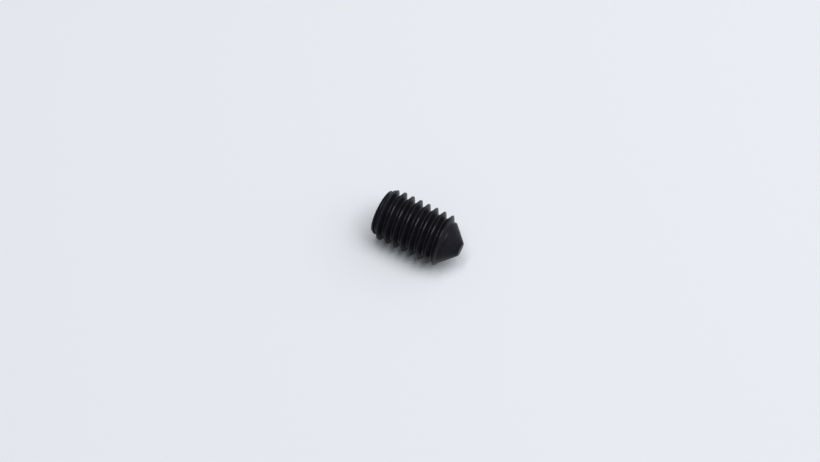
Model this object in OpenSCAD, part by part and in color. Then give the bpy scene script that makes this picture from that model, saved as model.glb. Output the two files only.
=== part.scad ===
// Socket set screw with a cone point, standing on its socket end.
// Millimetres. +Z runs along the axis, from the middle of the socket end to the tip.

/* [Thread] */
// Major diameter, over the crests
thread_d = 4.9; // [4.5:0.05:6]
// Pitch, from one crest to the next
pitch = 0.8; // [0.6:0.05:1]
// Width of the flat along the crests
crest_w = 0.1; // [0.06:0.01:0.16]
// Angle between the two flanks of the groove
flank_angle = 60; // [55:1:65]
// Radius of the round bottom of the groove
root_r = 0.115; // [0.08:0.005:0.14]
// Turn of the thread about the axis, where the groove meets the socket end
thread_turn = 169; // [-180:1:180]

/* [Body] */
// Overall length, from the socket end to the tip
length = 8; // [6.5:0.1:14]
// Outer diameter of the flat rim round the socket
rim_d = 4; // [3.6:0.05:4.4]
// Slope of the chamfer from the rim out to the crests, from the axis
chamfer_angle = 30; // [25:1:60]

/* [Point] */
// Included angle of the cone
point_angle = 90; // [80:1:120]
// Diameter of the flat at the tip
tip_d = 1.25; // [0.6:0.05:2]

/* [Hex socket] */
// Width across the flats
hex_w = 2.5; // [1.5:0.1:2.7]
// Depth of the flats below the socket end
hex_depth = 3; // [1.5:0.1:3.6]
// Diameter of the countersunk mouth
mouth_d = 3.1; // [2.9:0.05:3.4]
// Included angle of the countersunk mouth
mouth_angle = 120; // [90:1:140]
// Included angle of the drilled bottom
drill_angle = 120; // [100:1:140]

/* [Hidden] */
$fn = 96;
black_oxide = "#1b1b1f";
hex_sides = 6;

// Sections of the groove in each turn, and facets across its round bottom
turn_steps = 48;
root_steps = 3;
// How far each cutter reaches past the surface that it cuts; neighbouring turns of the groove stay apart
lip = crest_w / 2;

crest_r = thread_d / 2;
rim_r = rim_d / 2;
tip_r = tip_d / 2;
chamfer_h = (crest_r - rim_r) / tan(chamfer_angle);
point_slope = tan(point_angle / 2);
point_h = (crest_r - tip_r) / point_slope;

// The groove: its flanks would meet at the sharp depth, and the round bottom stays above that
flank_half = flank_angle / 2;
groove_half_w = (pitch - crest_w) / 2;
sharp_depth = groove_half_w / tan(flank_half);
root_centre_r = crest_r - sharp_depth + root_r / sin(flank_half);
minor_r = root_centre_r - root_r;

// The groove starts below the socket end, and ends where the cone is thinner than the root
groove_start = -pitch / 2;
groove_end = length - (minor_r - tip_r) / point_slope + pitch / 2;
groove_steps = ceil((groove_end - groove_start) / pitch * turn_steps);

// Section of the groove as [radius, height], from its lower lip round the bottom to its upper lip
groove_section = let (sweep = 90 - flank_half, lip_w = groove_half_w + lip * tan(flank_half)) concat(
    [[crest_r + lip, -lip_w]],
    [for (i = [0 : root_steps]) let (a = sweep * (2 * i / root_steps - 1))
        [root_centre_r - root_r * cos(a), root_r * sin(a)]],
    [[crest_r + lip, lip_w]]
);

// Outline of the turned blank as [radius, height]
blank_outline = [
    [0, 0],
    [rim_r, 0],
    [crest_r, chamfer_h],
    [crest_r, length - point_h],
    [tip_r, length],
    [0, length]
];

// Right-hand helical groove, swept section by section up the axis
module thread_groove() {
    count = len(groove_section);
    points = [for (s = [0 : groove_steps], p = groove_section)
        let (z = groove_start + pitch * s / turn_steps, a = thread_turn + 360 * z / pitch)
        [p[0] * cos(a), p[0] * sin(a), z + p[1]]];
    sides = [for (s = [0 : groove_steps - 1], i = [0 : count - 1])
        let (a = s * count + i, b = s * count + (i + 1) % count)
        each [[b, a, a + count], [b, a + count, b + count]]];
    first_end = [for (i = [0 : count - 1]) i];
    last_end = [for (i = [count - 1 : -1 : 0]) groove_steps * count + i];
    polyhedron(points = points, faces = concat([first_end], sides, [last_end]));
}

// Hex socket with a countersunk mouth and a drilled bottom
module socket() {
    mouth_h = mouth_d / 2 / tan(mouth_angle / 2);
    drill_h = hex_w / 2 / tan(drill_angle / 2);
    translate([0, 0, -lip])
        cylinder(d = hex_w / cos(180 / hex_sides), h = hex_depth + lip, $fn = hex_sides);
    cylinder(d1 = mouth_d, d2 = 0, h = mouth_h);
    translate([0, 0, hex_depth])
        cylinder(d1 = hex_w, d2 = 0, h = drill_h);
}

module set_screw() {
    color(black_oxide)
        difference() {
            rotate_extrude() polygon(blank_outline);
            thread_groove();
            socket();
        }
}

set_screw();
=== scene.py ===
from math import ceil, cos, pi, radians, sin, tan

import bmesh
import bpy
import numpy as np
from mathutils import Matrix, Vector


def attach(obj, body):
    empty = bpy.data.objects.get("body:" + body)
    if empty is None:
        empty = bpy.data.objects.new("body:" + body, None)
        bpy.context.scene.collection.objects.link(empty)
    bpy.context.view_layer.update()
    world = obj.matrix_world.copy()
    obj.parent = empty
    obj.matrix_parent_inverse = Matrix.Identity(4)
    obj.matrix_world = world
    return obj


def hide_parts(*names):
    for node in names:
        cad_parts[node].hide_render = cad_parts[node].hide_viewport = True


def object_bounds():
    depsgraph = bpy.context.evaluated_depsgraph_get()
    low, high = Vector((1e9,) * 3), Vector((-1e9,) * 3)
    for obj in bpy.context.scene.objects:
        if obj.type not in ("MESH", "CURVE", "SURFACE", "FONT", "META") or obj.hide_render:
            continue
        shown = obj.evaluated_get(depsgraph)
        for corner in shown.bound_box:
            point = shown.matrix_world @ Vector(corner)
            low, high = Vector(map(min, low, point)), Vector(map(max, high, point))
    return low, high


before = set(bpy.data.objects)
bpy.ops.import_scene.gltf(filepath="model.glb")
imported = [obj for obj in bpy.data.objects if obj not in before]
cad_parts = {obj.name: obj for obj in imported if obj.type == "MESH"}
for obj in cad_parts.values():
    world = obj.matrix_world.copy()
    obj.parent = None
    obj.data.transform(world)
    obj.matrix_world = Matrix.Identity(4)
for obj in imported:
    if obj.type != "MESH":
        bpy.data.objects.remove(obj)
cad_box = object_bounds()

# The screw: a headless set screw, turned from alloy steel bar, with a cone point and a broached hex socket.
# The thread is rolled, so its crests and roots are round, and it fades out on the cone that was turned first.
# Sizes are in millimetres, and the mesh is made in metres, standing on the socket end.
MM = 0.001
LENGTH = (cad_box[1].z - cad_box[0].z) / MM
CREST_R = (cad_box[1].x - cad_box[0].x) / 2 / MM
PITCH = 0.8
CREST_W = 0.1
CREST_ROUND = 0.022
FLANK_HALF = radians(30)
ROOT_ROUND = 0.115
ROOT_CENTRE_R = CREST_R - (PITCH - CREST_W) / 2 / tan(FLANK_HALF) + ROOT_ROUND / sin(FLANK_HALF)
MINOR_R = ROOT_CENTRE_R - ROOT_ROUND
THREAD_TURN = radians(169)
BLANK_R = 2.30
RIM_R = 2.0
CHAMFER_SLOPE = tan(radians(30))
POINT_SLOPE = tan(radians(45))
TIP_R = 0.625
HEX_W = 2.5
HEX_SIDES = 6
HEX_DEPTH = 3.0
MOUTH_R = 1.55
MOUTH_SLOPE = tan(radians(60))
DRILL_SLOPE = tan(radians(60))
EDGE_ROUND = 0.035
FULL_TURN = 2 * pi
COLUMNS = 240
CREST_POINTS = 5
FLANK_POINTS = 4
ROOT_POINTS = 7
SPARE_TURNS = 2
EDGE_STEPS = 4
column_angle = FULL_TURN * np.arange(COLUMNS) / COLUMNS


def half_thread():
    """One flank of the thread as (height, radius), from the middle of a crest to the middle of a root."""
    arc = pi / 2 - FLANK_HALF
    crest_z = CREST_W / 2 - CREST_ROUND * tan(arc / 2)
    crest = [(crest_z + CREST_ROUND * sin(a), CREST_R - CREST_ROUND + CREST_ROUND * cos(a))
             for a in np.linspace(0, arc, CREST_POINTS)]
    root = [(PITCH / 2 + ROOT_ROUND * sin(a), ROOT_CENTRE_R - ROOT_ROUND * cos(a))
            for a in np.linspace(-arc, 0, ROOT_POINTS)]
    flank = [tuple(p) for p in np.linspace(crest[-1], root[0], FLANK_POINTS + 2)[1:-1]]
    return [(0, CREST_R)] + crest + flank + root


def ring(radius, height):
    """One ring of points round the axis, from radii and heights that may change from column to column."""
    x, y = radius * np.cos(column_angle), radius * np.sin(column_angle)
    return np.stack(np.broadcast_arrays(x, y, height), axis=1).tolist()


def rounded_edge(before, corner, after):
    """Rings that round an edge: a curve from before to after, drawn towards the sharp corner between them."""
    for t in np.linspace(0, 1, EDGE_STEPS + 1):
        radius, height = ((1 - t) ** 2 * b + 2 * t * (1 - t) * c + t ** 2 * a
                          for b, c, a in zip(before, corner, after))
        yield ring(radius, height)


def chamfer_r(height):
    """Radius of the chamfer at the socket end, which cuts the thread."""
    return RIM_R + height * CHAMFER_SLOPE


# Rows follow the helix, so that every crest and root is one unbroken line of edges.
profile = half_thread()
profile += [(PITCH - z, r) for z, r in profile[-2:0:-1]]
laps = range(-SPARE_TURNS, ceil(LENGTH / PITCH) + SPARE_TURNS)
row_z = np.array([PITCH * lap + z for lap in laps for z, r in profile])
row_r = np.array([r for lap in laps for z, r in profile])
heights = row_z[:, None] + PITCH * ((column_angle - THREAD_TURN) / FULL_TURN + 0.5)
radii = np.repeat(row_r[:, None], COLUMNS, axis=1)

# Where the thread runs out on the chamfer, the nearest row is drawn onto the line where they meet.
excess = radii - chamfer_r(heights)
for row, column in np.argwhere(excess[:-1] * excess[1:] < 0):
    share = excess[row, column] / (excess[row, column] - excess[row + 1, column])
    meet = heights[row, column] * (1 - share) + heights[row + 1, column] * share
    nearest = row if share < 0.5 else row + 1
    heights[nearest, column] = meet
    radii[nearest, column] = chamfer_r(meet)
heights = np.clip(heights, EDGE_ROUND, LENGTH - EDGE_ROUND)
radii = np.minimum(radii, chamfer_r(heights))

# On the cone the dies meet less and less of the blank, so crests and groove fade out there together.
cone_r = TIP_R + (LENGTH - heights) * POINT_SLOPE
pressed = np.clip((cone_r - MINOR_R) / (BLANK_R - MINOR_R), 0, 1)
radii = np.minimum(cone_r, BLANK_R) + pressed * (radii - BLANK_R)
points = [p for row in zip(radii, heights) for p in ring(*row)]

# After a full turn each row goes on as the row that is one pitch higher.
faces = []
for row in range(len(row_z) - len(profile) - 1):
    for column in range(COLUMNS):
        right = (column + 1) % COLUMNS
        right_row = row + (column + 1) // COLUMNS * len(profile)
        faces.append((row * COLUMNS + column, right_row * COLUMNS + right,
                      (right_row + 1) * COLUMNS + right, (row + 1) * COLUMNS + column))

# The socket end: the rounded rim, the flat, the countersink, the hex walls and the drilled bottom.
WALL_SHARES = (0.2, 0.4, 0.6, 0.8, 1)
DRILL_SHARES = (1, 0.6, 0.25, 0.02)
foot_r = radii[0]
face_angle = np.mod(column_angle, FULL_TURN / HEX_SIDES) - pi / HEX_SIDES
hex_r = HEX_W / 2 / np.cos(face_angle)
mouth_z = (MOUTH_R - hex_r) / MOUTH_SLOPE
corner_r = np.minimum(foot_r, RIM_R)
end_rings = list(rounded_edge((foot_r, EDGE_ROUND), (corner_r, 0), (corner_r - EDGE_ROUND, 0)))
end_rings += rounded_edge((MOUTH_R + EDGE_ROUND, 0), (MOUTH_R, 0),
                          (MOUTH_R - EDGE_ROUND / 2, EDGE_ROUND / 2 / MOUTH_SLOPE))
end_rings += [ring(hex_r + EDGE_ROUND / 4, mouth_z - EDGE_ROUND / 4 / MOUTH_SLOPE),
              ring(hex_r, mouth_z + EDGE_ROUND / 4)]
end_rings += [ring(hex_r, mouth_z + (HEX_DEPTH - mouth_z) * t) for t in WALL_SHARES]
end_rings += [ring(HEX_W / 2 * t, HEX_DEPTH + HEX_W / 2 * (1 - t) / DRILL_SLOPE) for t in DRILL_SHARES]

# The point: the end of the cone, its rounded edge and the flat tip.
TIP_SHARES = (0.7, 0.4, 0.02)
cone_end_r = TIP_R + EDGE_ROUND * POINT_SLOPE
tip_rings = list(rounded_edge((cone_end_r, LENGTH - EDGE_ROUND), (TIP_R, LENGTH),
                              (TIP_R - EDGE_ROUND, LENGTH)))
tip_rings += [ring(TIP_R * t, LENGTH) for t in TIP_SHARES]
for rings, outward in ((end_rings, False), (tip_rings, True)):
    first = len(points)
    for each in rings:
        points += each
    for row in range(len(rings) - 1):
        for column in range(COLUMNS):
            here = first + row * COLUMNS + column
            right = first + row * COLUMNS + (column + 1) % COLUMNS
            quad = (here, right, right + COLUMNS, here + COLUMNS)
            faces.append(quad if outward else quad[::-1])
    last = [first + (len(rings) - 1) * COLUMNS + column for column in range(COLUMNS)]
    faces.append(last if outward else last[::-1])

# One closed skin, smooth but for the edges that the tools left sharp.
SAME_POINT = 0.0001
NO_LENGTH = 0.00001
SHARP_ANGLE = radians(32)
body = bmesh.new()
verts = [body.verts.new((x * MM, y * MM, z * MM)) for x, y, z in points]
for face in faces:
    body.faces.new([verts[i] for i in face])
bmesh.ops.remove_doubles(body, verts=body.verts, dist=SAME_POINT * MM)
bmesh.ops.dissolve_degenerate(body, edges=body.edges, dist=NO_LENGTH * MM)
bmesh.ops.recalc_face_normals(body, faces=body.faces)
mesh = bpy.data.meshes.new("set_screw_body")
body.to_mesh(mesh)
body.free()
mesh.shade_smooth()
mesh.set_sharp_from_angle(angle=SHARP_ANGLE)
screw = bpy.data.objects.new("set_screw_body", mesh)
bpy.context.collection.objects.link(screw)


class Link:
    """One output of a shader node. Sums on it add Math nodes, and add() makes any other node beside it."""

    def __init__(self, socket):
        self.socket = socket

    def add(self, kind, settings, inputs, output=0):
        made = self.socket.id_data.nodes.new(kind)
        for name, value in settings.items():
            setattr(made, name, value)
        for name, value in inputs.items():
            if isinstance(value, Link):
                value.feed(made.inputs[name])
            else:
                made.inputs[name].default_value = value
        return Link(made.outputs[output])

    def feed(self, target):
        self.socket.id_data.links.new(self.socket, target)

    def maths(self, operation, *others):
        return self.add("ShaderNodeMath", {"operation": operation}, dict(enumerate((self, *others))))

    def __add__(self, other):
        return self.maths("ADD", other)

    def __sub__(self, other):
        return self.maths("SUBTRACT", other)

    def __rsub__(self, other):
        return self.add("ShaderNodeMath", {"operation": "SUBTRACT"}, {0: other, 1: self})

    def __mul__(self, other):
        return self.maths("MULTIPLY", other)

    def __truediv__(self, other):
        return self.maths("DIVIDE", other)

    def __rtruediv__(self, other):
        return self.add("ShaderNodeMath", {"operation": "DIVIDE"}, {0: other, 1: self})

    __radd__ = __add__
    __rmul__ = __mul__

    def rise(self, low, high):
        """0 below low, 1 above high, and a smooth step between them."""
        return self.add("ShaderNodeMapRange", {"interpolation_type": "SMOOTHSTEP"},
                        {"Value": self, "From Min": low, "From Max": high})

    def noise(self, scale, detail, roughness=0.6):
        return self.add("ShaderNodeTexNoise", {"noise_dimensions": "3D"},
                        {"Vector": self, "Scale": scale, "Detail": detail, "Roughness": roughness})

    def spread(self, x, y, z):
        return self.add("ShaderNodeCombineXYZ", {}, {"X": x, "Y": y, "Z": z})

    def blend(self, low, high):
        return self.add("ShaderNodeMix", {"data_type": "RGBA"},
                        {"Factor": self, "A": low, "B": high}, "Result")


# The finish: black oxide over steel, under a thin film of oil. Rolled flanks carry fine lines along the
# helix, turned faces carry rings, hex walls carry broach lines, and the dies left the crests burnished.
BLACK = (0.0080, 0.0077, 0.0104, 1)
GREY_BLACK = (0.0190, 0.0182, 0.0244, 1)
BURNISHED_BLACK = (0.0046, 0.0044, 0.0058, 1)
black_oxide = bpy.data.materials.new("black_oxide_steel")
black_oxide.use_nodes = True
steel = black_oxide.node_tree.nodes["Principled BSDF"]
steel.inputs["Metallic"].default_value = 0.4
steel.inputs["Specular IOR Level"].default_value = 0.05
steel.inputs["Coat Roughness"].default_value = 0.12

# Where a point of the screw lies: its place in millimetres, and its share of the pitch along the helix.
place = Link(steel.outputs["BSDF"]).add("ShaderNodeTexCoord", {}, {}, "Object")
place = place.add("ShaderNodeVectorMath", {"operation": "SCALE"}, {0: place, "Scale": 1 / MM})
x, y, z = (place.add("ShaderNodeSeparateXYZ", {}, {"Vector": place}, axis) for axis in "XYZ")
radius = (x * x + y * y).maths("SQRT")
angle = y.maths("ARCTAN2", x)
along = (z / PITCH - angle / FULL_TURN).maths("FRACT")

# Faces of the screw, as masks that fade over these radii, heights and shares of the pitch.
CONE_START = LENGTH - (MINOR_R - TIP_R) / POINT_SLOPE
CONE_FADE = (CONE_START - 0.06, CONE_START + 0.04)
TURNED_FADE = (0.004, 0.02)
SOCKET_FADE = (MOUTH_R - 0.1, MOUTH_R - 0.02)
SOCKET_END_FADE = (HEX_DEPTH + 0.7, HEX_DEPTH + 0.9)
CREST_FADE = (CREST_R - 0.03, CREST_R - 0.004)
LIP_HEIGHT = 0.1
ROOT_AT = 1 - THREAD_TURN / FULL_TURN
ROOT_FADE = (0.07, 0.14)
in_socket = (1 - radius.rise(*SOCKET_FADE)) * (1 - z.rise(*SOCKET_END_FADE))
on_cone = z.rise(*CONE_FADE)
on_chamfer = 1 - (chamfer_r(z) - radius).rise(*TURNED_FADE)
on_rim = 1 - z.rise(*TURNED_FADE)
on_tip = 1 - (LENGTH - z).rise(*TURNED_FADE)
on_end = on_rim.maths("MAXIMUM", on_tip)
turned = on_cone.maths("MAXIMUM", on_chamfer).maths("MAXIMUM", on_end) * (1 - in_socket)
rolled = (1 - turned) * (1 - in_socket)
crest = radius.rise(*CREST_FADE)
lip = (radius - (TIP_R + (LENGTH - z) * POINT_SLOPE)).rise(0, LIP_HEIGHT)
root = 1 - (along - ROOT_AT).maths("ABSOLUTE").rise(*ROOT_FADE)

# What the tools left. Scales are in marks for each millimetre, or for each pitch along the helix.
CLOUD_SCALE = 1.1
GRAIN_SCALE = 26
ROLLED_SCALE, ROLLED_ALONG_SCALE, ROLLED_DRIFT = 22, 18, 1.5
RING_SCALE, RING_ALONG_SCALE, RING_DRIFT = 15, 3, 0.6
BROACH_SCALE, BROACH_ALONG_SCALE = 26, 1.3
cloud = place.noise(CLOUD_SCALE, detail=3)
grain = place.noise(GRAIN_SCALE, detail=4)
drift = angle.maths("SINE") * ROLLED_DRIFT
rolled_lines = place.spread(radius * ROLLED_SCALE, along * ROLLED_ALONG_SCALE, drift).noise(1, detail=4)
turned_rings = place.spread(radius * RING_SCALE, z * RING_ALONG_SCALE, cloud * RING_DRIFT).noise(1, detail=4)
broach_lines = place.spread(x * BROACH_SCALE, y * BROACH_SCALE, z * BROACH_ALONG_SCALE).noise(1, detail=3)
marks = (rolled_lines * (1 - turned) + turned_rings * turned) * (1 - in_socket) + broach_lines * in_socket

# The colour runs from black to grey-black with the marks, and crests are darker, smoother and wet with oil.
TONE_SPAN = (0.38, 0.66)
BURNISH_SPAN = (0.4, 0.62)
LEAST_BURNISH = 0.6
CREST_OIL = 0.20
ROOT_OIL = 0.06
LIP_DRY = 0.4
MARK_DEPTH = 0.010
tone = (cloud * 0.3 + grain * 0.25 + marks * 0.45).rise(*TONE_SPAN)
patchy = LEAST_BURNISH + (cloud * 0.6 + rolled_lines * 0.4).rise(*BURNISH_SPAN) * (1 - LEAST_BURNISH)
burnished = crest.maths("MAXIMUM", lip) * patchy
colour = burnished.blend(tone.blend(BLACK, GREY_BLACK), BURNISHED_BLACK)
rough = 0.25 + tone * 0.12 + marks * 0.16 + turned * 0.06 - burnished * 0.04
oil = (crest * (1 - lip * LIP_DRY) * CREST_OIL + root * ROOT_OIL) * rolled * (0.5 + cloud)
relief = marks * 0.7 + grain * 0.3
bump = relief.add("ShaderNodeBump", {}, {"Strength": 0.8, "Distance": MARK_DEPTH * MM, "Height": relief})
colour.feed(steel.inputs["Base Color"])
rough.feed(steel.inputs["Roughness"])
oil.feed(steel.inputs["Coat Weight"])
bump.feed(steel.inputs["Normal"])
mesh.materials.append(black_oxide)

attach(screw, "root")
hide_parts("set_screw")

# The table: a plain pale sheet that the screw lies on, with its thread against it, as the photograph has it.
# In the screw's own frame it is the upright plane that touches the crests at the back. It has one side only.
TABLE_COLOUR = (0.767, 0.788, 0.823, 1)
TABLE_HALF = 0.5
touch_y = cad_box[1].y
corners = [(-TABLE_HALF, touch_y, -TABLE_HALF), (TABLE_HALF, touch_y, -TABLE_HALF),
           (TABLE_HALF, touch_y, TABLE_HALF), (-TABLE_HALF, touch_y, TABLE_HALF)]
table_mesh = bpy.data.meshes.new("table")
table_mesh.from_pydata(corners, [], [(0, 1, 2, 3)])
table = bpy.data.objects.new("table", table_mesh)
bpy.context.collection.objects.link(table)
table_paint = bpy.data.materials.new("table_paint")
table_paint.use_nodes = True
sheet = table_paint.node_tree.nodes["Principled BSDF"]
sheet.inputs["Base Color"].default_value = TABLE_COLOUR
sheet.inputs["Roughness"].default_value = 0.8
sheet.inputs["Specular IOR Level"].default_value = 0
front = Link(sheet.outputs["BSDF"])
behind = front.add("ShaderNodeNewGeometry", {}, {}, "Backfacing")
clear = front.add("ShaderNodeBsdfTransparent", {}, {})
one_sided = front.add("ShaderNodeMixShader", {}, {0: behind, 1: front, 2: clear})
one_sided.feed(table_paint.node_tree.nodes["Material Output"].inputs["Surface"])
table_mesh.materials.append(table_paint)

# The camera looks down on the table, where the screw lies turned, with its point towards the lower right.
# Pixels are those of the 820 x 462 photograph, and the camera's distance sets the photograph's perspective.
IMAGE_W, IMAGE_H = 820, 462
SCREW_AT = (420.9, 230.2)
PIXELS_PER_MM = 11.2
LENS_PIXELS = 1000
SENSOR_W = 36
LOOK_DOWN = radians(64.5)
SCREW_TURN = radians(28.6)
across = Vector((-sin(SCREW_TURN), 0, cos(SCREW_TURN)))
away = Vector((-cos(SCREW_TURN), 0, -sin(SCREW_TURN)))
off_table = Vector((0, -1, 0))
up = away * sin(LOOK_DOWN) + off_table * cos(LOOK_DOWN)
back = -away * cos(LOOK_DOWN) + off_table * sin(LOOK_DOWN)
middle = Vector((0, 0, LENGTH / 2 * MM))
aside = (SCREW_AT[0] - IMAGE_W / 2) / PIXELS_PER_MM * MM
below = (SCREW_AT[1] - IMAGE_H / 2) / PIXELS_PER_MM * MM
camera = bpy.data.objects.new("camera", bpy.data.cameras.new("camera"))
camera.data.sensor_width = SENSOR_W
camera.data.lens = SENSOR_W * LENS_PIXELS / IMAGE_W
camera.data.clip_start = MM
camera.matrix_world = Matrix((across, up, back)).transposed().to_4x4()
camera.location = middle - across * aside + up * below + back * (LENS_PIXELS / PIXELS_PER_MM * MM)
bpy.context.collection.objects.link(camera)
bpy.context.scene.camera = camera

# The light: a narrow lamp overhead, square to the screw, for the glints, and a wide ceiling lamp and a window
# for a soft shadow. Each has its way across, away and off the table, its sizes along and across the screw, in
# metres, and its watts. The pale room round them is dim as a light and bright where it is seen.
ROOM = (0.91, 0.945, 1.0, 1)
ROOM_LIGHT = 0.18
ROOM_SEEN = 0.88
LAMPS = {"overhead": ((-0.09, 0.05, 0.50), (0.09, 0.32), 0.75),
         "ceiling": ((0.16, 0.00, 0.50), (0.40, 0.30), 1.35),
         "window": ((0.45, 0.08, 0.45), (0.80, 0.80), 1.80)}
along_screw = Vector((0, 0, 1))
room = bpy.data.worlds.new("room")
room.use_nodes = True
walls = room.node_tree.nodes["Background"]
walls.inputs["Color"].default_value = ROOM
direct, mirrored, through = (Link(walls.outputs["Background"]).add("ShaderNodeLightPath", {}, {}, ray)
                             for ray in ("Is Camera Ray", "Is Glossy Ray", "Is Transmission Ray"))
brightness = ROOM_LIGHT + (direct + mirrored + through) * (ROOM_SEEN - ROOM_LIGHT)
brightness.feed(walls.inputs["Strength"])
bpy.context.scene.world = room
for lamp_name, (way, sizes, watts) in LAMPS.items():
    lamp = bpy.data.objects.new(lamp_name, bpy.data.lights.new(lamp_name, "AREA"))
    lamp.data.shape = "RECTANGLE"
    lamp.data.size, lamp.data.size_y = sizes
    lamp.data.energy = watts
    from_middle = across * way[0] + away * way[1] + off_table * way[2]
    facing = from_middle.normalized()
    lengthwise = (along_screw - facing * along_screw.dot(facing)).normalized()
    lamp.matrix_world = Matrix((lengthwise, facing.cross(lengthwise), facing)).transposed().to_4x4()
    lamp.location = middle + from_middle
    bpy.context.collection.objects.link(lamp)

bpy.context.scene.view_settings.view_transform = "Standard"
bpy.context.view_layer.update()
